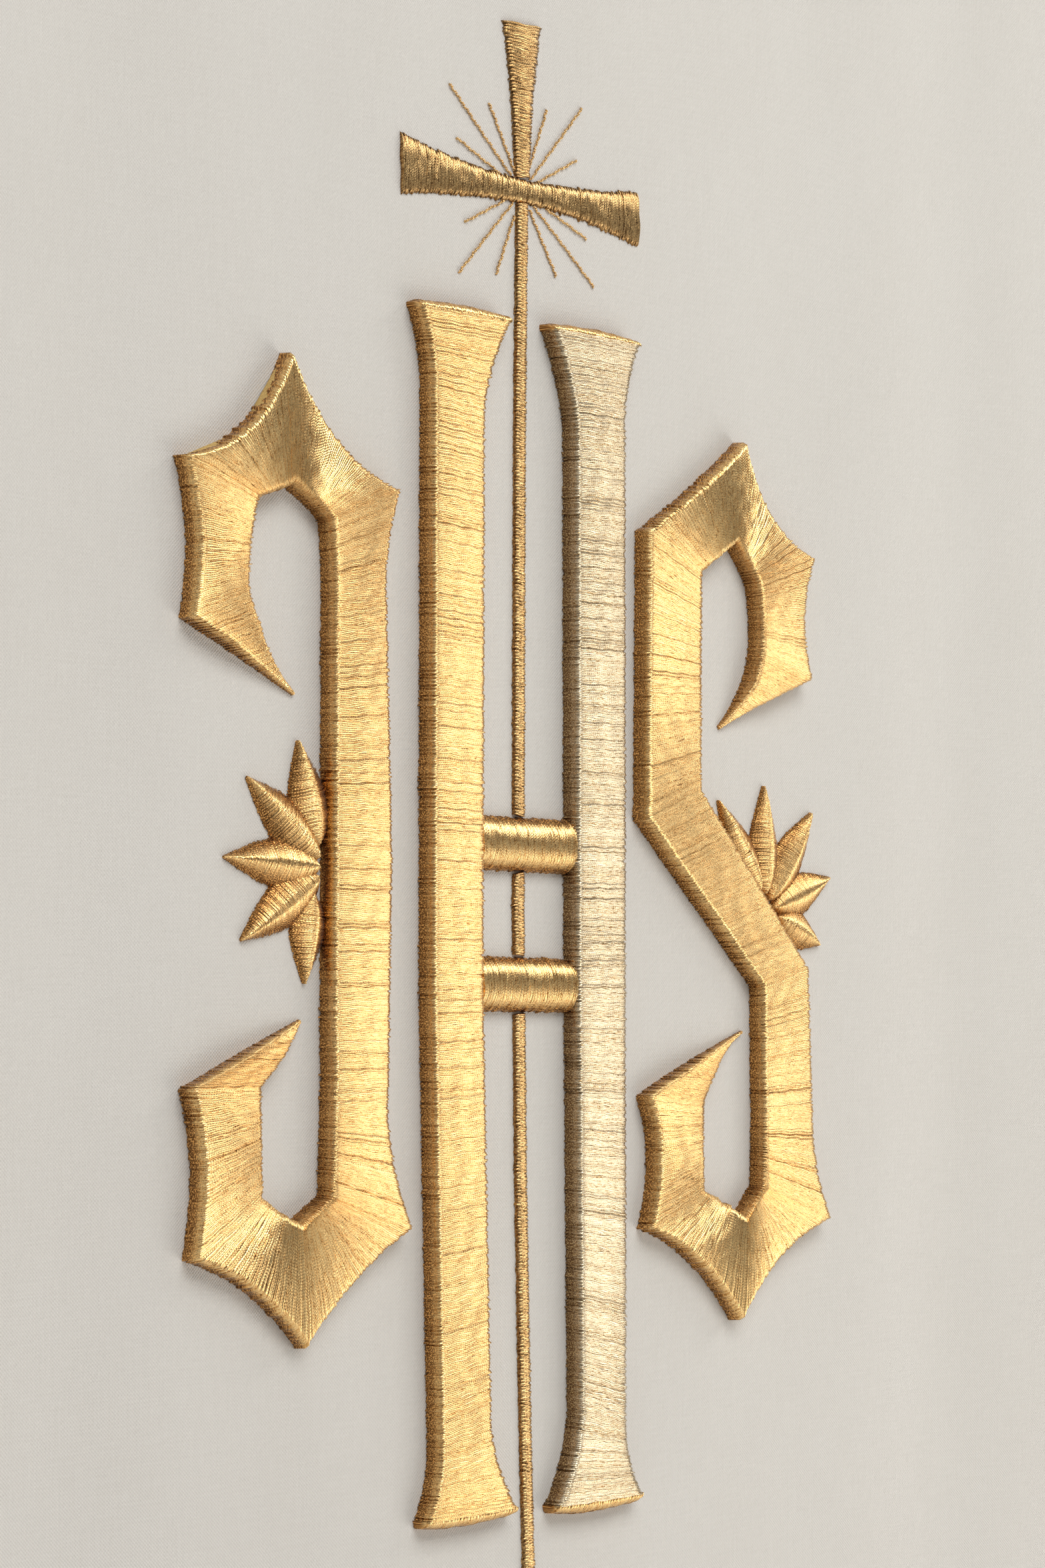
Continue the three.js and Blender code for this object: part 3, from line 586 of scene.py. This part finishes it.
BAR_DEPTH = 16.2
BAR_FALL = 0.8
BAR_RISE = 5.4
BAR_LEFT, BAR_RIGHT = -21.1, 18.6
for bar_name, bar_top, seed in (("upper", -9.8, 71), ("lower", -51.6, 72)):
    bar_edges = [np.array([[BAR_LEFT, bar_top], [BAR_RIGHT, bar_top - BAR_FALL]]),
                 np.array([[BAR_LEFT, bar_top - BAR_DEPTH], [BAR_RIGHT, bar_top - BAR_FALL - BAR_DEPTH]])]
    bar = satin(f"h_{bar_name}_bar_stitches", bar_edges, BAR_RISE, dome, seed, pitch=0.62, ragged=0.2,
                ridge=0.26)
    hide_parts(f"h_{bar_name}_bar_satin")

# The foam that the letters are stitched over: dense, gold-dyed sheet foam, cut to shape.
# It is hidden by the stitches, so the CAD solids are shown as they are.
foam, foam_tree, foam_shader = new_material("gold_foam", 0.95)
foam_place = foam_tree.nodes.new("ShaderNodeTexCoord")
foam_cells = foam_tree.nodes.new("ShaderNodeTexVoronoi")
foam_cells.inputs["Scale"].default_value = 2200
foam_tree.links.new(foam_place.outputs["Object"], foam_cells.inputs["Vector"])
foam_tone = colour_ramp(foam_tree, foam_cells.outputs["Distance"],
                        [(0.0, (0.42, 0.26, 0.07)), (1.0, (0.70, 0.48, 0.18))])
foam_tree.links.new(foam_tone, foam_shader.inputs["Base Color"])
for node, cad_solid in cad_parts.items():
    if node.endswith("_foam"):
        cad_solid.data.materials.clear()
        cad_solid.data.materials.append(foam)

# ---------------------------------------------------------------------------------------
# The cross. Its arms, its top and the long shaft between the columns are satin stitched
# straight on the cloth, so they lie low.
# ---------------------------------------------------------------------------------------
FLAT_RISE = 1.4


def low_oval(u, wide):
    """The low rounded section of satin with nothing under it."""
    s = np.abs(2 * u - 1)
    return (1 - s ** 3).clip(0) ** 0.5 + 0 * wide


CROSS_ARMS = [[-51, 189, -51, 171], [0, 182.8, 0, 175.8], [50.5, 186.8, 50.5, 169.6]]
CROSS_TOP = [[-8.7, 230.3, 7.3, 230.3], [-3.8, 183.4, 2.4, 183.4]]
# The arms and the top take the darker copy of the gold: painted shade.
cross_arms = satin("cross_arms_stitches", stroke_edges(CROSS_ARMS, [[1.1, 1], [0.9, 1.2]]), FLAT_RISE,
                   low_oval, 81, narrowing=0.0, ragged=0.25, slant=0.22, thread=flat_gold_satin_painted_shade)
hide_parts("cross_arms")
cross_top = satin("cross_top_stitches", stroke_edges(CROSS_TOP, [[1, 1]]), FLAT_RISE, low_oval, 82,
                  narrowing=0.0, ragged=0.25, across=11, slant=0.25, thread=flat_gold_satin_painted_shade)
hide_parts("cross_top")

SHAFT_PATH = [[-0.7, 182], [-1.7, 100], [-2.3, -40], [-1.4, -120], [0.2, -190], [2, -250], [2.6, -350]]
SHAFT_HALF_WIDTH = 2.4
SHAFT_FOOT = -348
FOOT_FLARE = 5.6
FOOT_HEIGHT = 46
SHAFT_SMOOTHING = 13


def shaft_edges(top, foot):
    """The shaft's two edges: a slow curve through the path's places, with the last
    46 mm flaring outwards by a square law."""
    z = np.linspace(top, foot, max(8, int((top - foot) / 2)))
    path = np.array(SHAFT_PATH)[::-1]
    middle = np.interp(z, path[:, 1], path[:, 0])
    if len(z) > SHAFT_SMOOTHING:
        ends = SHAFT_SMOOTHING // 2
        middle = np.convolve(np.pad(middle, ends, mode="edge"), np.ones(SHAFT_SMOOTHING) / SHAFT_SMOOTHING,
                             mode="valid")
    half = SHAFT_HALF_WIDTH + FOOT_FLARE * (1 - (z - SHAFT_FOOT) / FOOT_HEIGHT).clip(0) ** 2
    return [np.stack([middle - half, z], axis=1), np.stack([middle + half, z], axis=1)]


SHAFT_LENGTHS = {"upper": (175.4, -9.7), "middle": (-26.8, -51.5), "lower": (-68.8, SHAFT_FOOT)}
# The shaft takes the darker copy of the gold too: painted shade.
for seed, (length_name, (top, foot)) in enumerate(SHAFT_LENGTHS.items(), start=91):
    shaft = satin(f"cross_{length_name}_shaft_stitches", shaft_edges(top, foot), FLAT_RISE, low_oval, seed,
                  narrowing=0.0, ragged=0.22, across=9, slant=0.3, thread=flat_gold_satin_painted_shade)
    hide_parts(f"cross_{length_name}_shaft")

# ---------------------------------------------------------------------------------------
# The two sprays of leaves. Each leaf is a narrow satin shape whose stitches meet in a
# ridge along its middle.
# ---------------------------------------------------------------------------------------
LEAF_RISE = 5.0
LEAF_POINT = 0.4


def ridged(u, wide):
    """Two slopes, a little bellied, up to a sharp ridge in the middle."""
    s = np.abs(2 * u - 1)
    return (1.06 - np.sqrt(s ** 2 + 0.0036)).clip(0) ** 0.8 * (s < 0.999) + 0 * wide


def add_leaf(name, tip, root, half_width, seed):
    """A leaf from its root to its tip, widest a third of the way: its half width goes
    as the sine of pi times the share of its length to the power 0.68."""
    share = np.linspace(0, 1, 61)[:, None]
    axis = np.array(tip) - np.array(root)
    side = np.array([axis[1], -axis[0]]) / np.linalg.norm(axis)
    half = LEAF_POINT + half_width * np.sin(np.pi * share ** 0.68).clip(0)
    middle = np.array(root) + axis * share
    leaf = satin(f"{name}_stitches", [middle - half * side, middle + half * side], LEAF_RISE, ridged, seed,
                 pitch=0.45, ragged=0.16, ridge=0.15, across=13, narrowing=0.5)
    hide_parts(name)


# Each leaf is its tip, its root and its half width.
I_LEAVES = [((-91.5, 9), (-84.5, -21), 7.36), ((-111, -2), (-84, -24.2), 6.88),
            ((-119.5, -24.5), (-83.5, -26.6), 6.88), ((-113, -47.5), (-84, -29), 6.88),
            ((-88.8, -59.5), (-86.8, -33.6), 6.4)]
S_LEAVES = [((88.5, -2), (108.6, -30.6), 6.4), ((111.5, 3.5), (111.2, -31.4), 6.88),
            ((136, -4.5), (113.6, -33.2), 6.88), ((145, -25.5), (115.4, -35.8), 6.88),
            ((139.6, -47.6), (117.6, -38.6), 6.4)]
for number, (tip, root, half_width) in enumerate(I_LEAVES, start=1):
    add_leaf(f"i_leaf_{number}", tip, root, half_width, 100 + number)
for number, (tip, root, half_width) in enumerate(S_LEAVES, start=1):
    add_leaf(f"s_leaf_{number}", tip, root, half_width, 110 + number)

# ---------------------------------------------------------------------------------------
# The rays round the cross: single lines of running stitch in two-ply metallic thread.
# ---------------------------------------------------------------------------------------
RAY_ENDS = [(-31, 207), (-14.5, 204), (-28, 191.3), (9.7, 206), (25, 209), (22.8, 192.5),
            (-24.5, 166.5), (-27, 151), (-11.5, 152.5), (13.8, 155), (30.5, 154), (27.2, 168.5)]
CROSS_MIDDLE = np.array([-0.8, 179.3])
RAY_CLEAR = (3.1, 3.9)
STITCH_LENGTH = 2.2
PLY_RADIUS = 0.22
PLY_OFFSET = 0.25
PLY_TURN = 1.7
PLY_SIDES = 6


def add_ray(number, end):
    """Two plies, each a round thread 0.44 mm thick winding about the ray's line once in
    1.7 mm; the pair humps up off the cloth between needle holes 2.2 mm apart."""
    run = np.array(end) - CROSS_MIDDLE
    start = CROSS_MIDDLE + run * max(RAY_CLEAR[0] / abs(run[0]), RAY_CLEAR[1] / abs(run[1]))
    run = np.array(end) - start
    length = np.linalg.norm(run)
    stitches = max(3, round(length / STITCH_LENGTH))
    share = np.linspace(0, 1, stitches * 14 + 1)
    hump = 0.62 * np.abs(np.sin(np.pi * share * stitches)) ** 0.7 - 0.12
    wander = 0.12 * np.sin(6.283 * share * stitches / 2.7 + number)
    side = np.array([run[1], -run[0]]) / length
    turn = 2 * np.pi * share * length / PLY_TURN
    ring = np.linspace(0, 2 * np.pi, PLY_SIDES, endpoint=False)
    all_points, all_faces, all_lay = [], [], []
    for ply in (0, 1):
        spin = turn + np.pi * ply + number
        narrow = np.clip(4.5 * hump, 0.3, 1)
        off_side = (PLY_OFFSET * np.cos(spin) * narrow + wander)[:, None] + PLY_RADIUS * np.cos(ring)
        off_cloth = (PLY_OFFSET * np.sin(spin) * narrow + hump)[:, None] + PLY_RADIUS * np.sin(ring)
        x = start[0] + run[0] * share[:, None] + side[0] * off_side
        z = start[1] + run[1] * share[:, None] + side[1] * off_side
        first = ply * len(share) * PLY_SIDES
        row, column = np.divmod(grid_faces(len(share), PLY_SIDES + 1), PLY_SIDES + 1)
        all_faces.append(first + row * PLY_SIDES + column % PLY_SIDES)
        all_points.append(cloth_point(x, z, off_cloth - 0.15).reshape(-1, 3))
        all_lay.append(np.stack(np.broadcast_arrays((share * length)[:, None], 0.5 + 2 * ply + 0 * ring),
                                axis=-1).reshape(-1, 2))
    # The rays take the darker copy of the gold: painted shade.
    ray = add_piece(f"cross_ray_{number}_stitches", np.concatenate(all_points), [np.concatenate(all_faces)],
                    np.concatenate(all_lay), flat_gold_satin_painted_shade, closed=True)
    lift = ray.data.attributes.new("lift", "FLOAT", "POINT")
    lift.data.foreach_set("value", np.full(len(ray.data.vertices), 1.0, np.float32))
    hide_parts(f"cross_ray_{number}")


for number, end in enumerate(RAY_ENDS, start=1):
    add_ray(number, end)

# ---------------------------------------------------------------------------------------
# The stabiliser: a white bonded fibre sheet behind the front, under all the stitching.
# It is held to the cloth by the stitches and follows it.
# ---------------------------------------------------------------------------------------
SHEET_BEHIND = 0.0016
SHEET_ROWS, SHEET_COLUMNS = 121, 61
(sheet_left, _, sheet_foot), (sheet_right, _, sheet_top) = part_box("embroidery_backing")
sheet_x, sheet_z = np.meshgrid(np.linspace(sheet_left, sheet_right, SHEET_COLUMNS),
                               np.linspace(sheet_top, sheet_foot, SHEET_ROWS))
ruck = 0.00025 * np.sin(sheet_x * 90 + 2 * np.sin(sheet_z * 31)) * np.sin(sheet_z * 57)
sheet_y = -(PANEL_DEPTH - SHEET_BEHIND) - panel_swell(sheet_x, sheet_z, FRONT_SEED) + ruck
bonded_fibre, fibre_tree, fibre_shader = new_material("bonded_fibre", 0.95)
fibre_place = fibre_tree.nodes.new("ShaderNodeTexCoord")
fibre_mat = fibre_tree.nodes.new("ShaderNodeTexNoise")
fibre_mat.inputs["Scale"].default_value = 900
fibre_mat.inputs["Detail"].default_value = 5
fibre_tree.links.new(fibre_place.outputs["Object"], fibre_mat.inputs["Vector"])
fibre_tone = colour_ramp(fibre_tree, fibre_mat.outputs["Fac"],
                         [(0.0, (0.62, 0.61, 0.57)), (1.0, (0.85, 0.84, 0.80))])
fibre_tree.links.new(fibre_tone, fibre_shader.inputs["Base Color"])
raise_bumps(fibre_tree, fibre_shader, fibre_mat.outputs["Fac"], 0.4, 0.0001)
stabiliser = add_piece("stabiliser_sheet", np.stack([sheet_x, sheet_y, sheet_z], axis=-1).reshape(-1, 3),
                       [grid_faces(SHEET_ROWS, SHEET_COLUMNS)],
                       np.stack([sheet_x, sheet_z], axis=-1).reshape(-1, 2), bonded_fibre, closed=False)
sheet_wall = stabiliser.modifiers.new("sheet thickness", "SOLIDIFY")
sheet_wall.thickness = 0.0005
sheet_wall.offset = -1
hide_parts("embroidery_backing")

# ---------------------------------------------------------------------------------------
# Floor, light and camera. A plain pale floor. The half of the room behind the garment is
# pale and lights the floor; three soft lamps light the front and one the back. The camera
# stands to the left of the front.
# ---------------------------------------------------------------------------------------
FLOOR_BELOW_HEM = 0.45
FLOOR_REACH = 60.0
floor_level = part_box("back_panel")[0][2] - FLOOR_BELOW_HEM
floor_mesh = bpy.data.meshes.new("floor")
floor_mesh.from_pydata([(x * FLOOR_REACH, y * FLOOR_REACH, floor_level)
                        for x, y in ((-1, -1), (1, -1), (1, 1), (-1, 1))], [], [(0, 1, 2, 3)])
floor = bpy.data.objects.new("floor", floor_mesh)
bpy.context.collection.objects.link(floor)
floor_paint, _, floor_shader = new_material("pale_floor", 0.8)
floor_shader.inputs["Base Color"].default_value = (0.76, 0.75, 0.735, 1)
floor_mesh.materials.append(floor_paint)

# The room: its light goes by height in front and is even behind. The camera sees a pale
# wall whichever way it looks.
ROOM_STRENGTH = 0.58
ROOM_BY_HEIGHT = [(0.0, (0.42, 0.42, 0.42)), (0.40, (0.05, 0.05, 0.0525)), (0.60, (0.05, 0.05, 0.0525)),
                  (0.74, (0.3, 0.3, 0.315)), (1.0, (0.62, 0.64, 0.68))]
room = bpy.data.worlds.new("studio")
room.use_nodes = True
room_tree = room.node_tree


def mix_colours(tree, factor, first, second):
    """Blends two colours by a factor. Each is a colour or a socket."""
    blend = tree.nodes.new("ShaderNodeMix")
    blend.data_type = "RGBA"
    tree.links.new(factor, blend.inputs[0])
    for socket, value in ((blend.inputs[6], first), (blend.inputs[7], second)):
        if isinstance(value, tuple):
            socket.default_value = (*value, 1)
        else:
            tree.links.new(value, socket)
    return blend.outputs[2]


room_place = room_tree.nodes.new("ShaderNodeTexCoord")
room_split = room_tree.nodes.new("ShaderNodeSeparateXYZ")
room_tree.links.new(room_place.outputs["Generated"], room_split.inputs[0])
room_height = calculate(room_tree, "ADD", calculate(room_tree, "MULTIPLY", room_split.outputs["Z"], 0.5), 0.5)
room_behind = room_tree.nodes.new("ShaderNodeMapRange")
room_behind.interpolation_type = "SMOOTHSTEP"
room_behind.inputs["From Min"].default_value = 0.05
room_behind.inputs["From Max"].default_value = 0.45
room_tree.links.new(room_split.outputs["Y"], room_behind.inputs["Value"])
room_light = mix_colours(room_tree, room_behind.outputs["Result"],
                         colour_ramp(room_tree, room_height, ROOM_BY_HEIGHT), (1.45, 1.44, 1.42))
room_eye = room_tree.nodes.new("ShaderNodeLightPath")
room_shown = mix_colours(room_tree, room_eye.outputs["Is Camera Ray"], room_light, (0.95, 0.94, 0.925))
room_tree.links.new(room_shown, room_tree.nodes["Background"].inputs["Color"])
room_tree.nodes["Background"].inputs["Strength"].default_value = ROOM_STRENGTH
bpy.context.scene.world = room

emblem_middle = np.array([0, -PANEL_DEPTH, EMBLEM_HEIGHT])


def add_softbox(name, direction, distance, width, height, power, colour):
    """A rectangular lamp that faces the middle of the embroidery from a direction."""
    aim = np.array(direction, float)
    aim /= np.linalg.norm(aim)
    lamp = bpy.data.lights.new(name, "AREA")
    lamp.shape = "RECTANGLE"
    lamp.size, lamp.size_y, lamp.energy, lamp.color = width, height, power, colour
    holder = bpy.data.objects.new(name, lamp)
    bpy.context.collection.objects.link(holder)
    holder.location = emblem_middle + aim * distance
    holder.rotation_mode = "QUATERNION"
    holder.rotation_quaternion = Vector(aim).to_track_quat("Z", "Y")


add_softbox("window", (0.80, -0.36, 0.48), 1.9, 0.75, 0.65, 7.0, (1.0, 0.98, 0.95))
add_softbox("reflector", (0.64, -0.60, -0.47), 1.6, 1.0, 0.8, 7.6, (1.0, 0.97, 0.93))
add_softbox("ceiling", (-0.12, -0.76, 0.76), 3.0, 2.5, 1.4, 62, (0.98, 0.985, 1.0))
add_softbox("back", (0.45, 0.85, 0.45), 3.4, 2.4, 1.8, 60, (1.0, 0.99, 0.97))

SENSOR_WIDTH = 36
LENS = 83.3
VIEW_AZIMUTH = np.radians(46)
VIEW_RISE = np.radians(2.9)
VIEW_DISTANCE = 1.088
camera_data = bpy.data.cameras.new("camera")
camera_data.sensor_width = SENSOR_WIDTH
camera_data.lens = LENS
camera = bpy.data.objects.new("camera", camera_data)
bpy.context.collection.objects.link(camera)
bpy.context.scene.camera = camera
view_line = np.array([np.sin(VIEW_AZIMUTH) * np.cos(VIEW_RISE), np.cos(VIEW_AZIMUTH) * np.cos(VIEW_RISE),
                      np.sin(VIEW_RISE)])
camera.location = emblem_middle - VIEW_DISTANCE * view_line
camera.rotation_euler = (np.pi / 2 + VIEW_RISE, 0, -VIEW_AZIMUTH)
bpy.context.scene.view_settings.view_transform = "Standard"
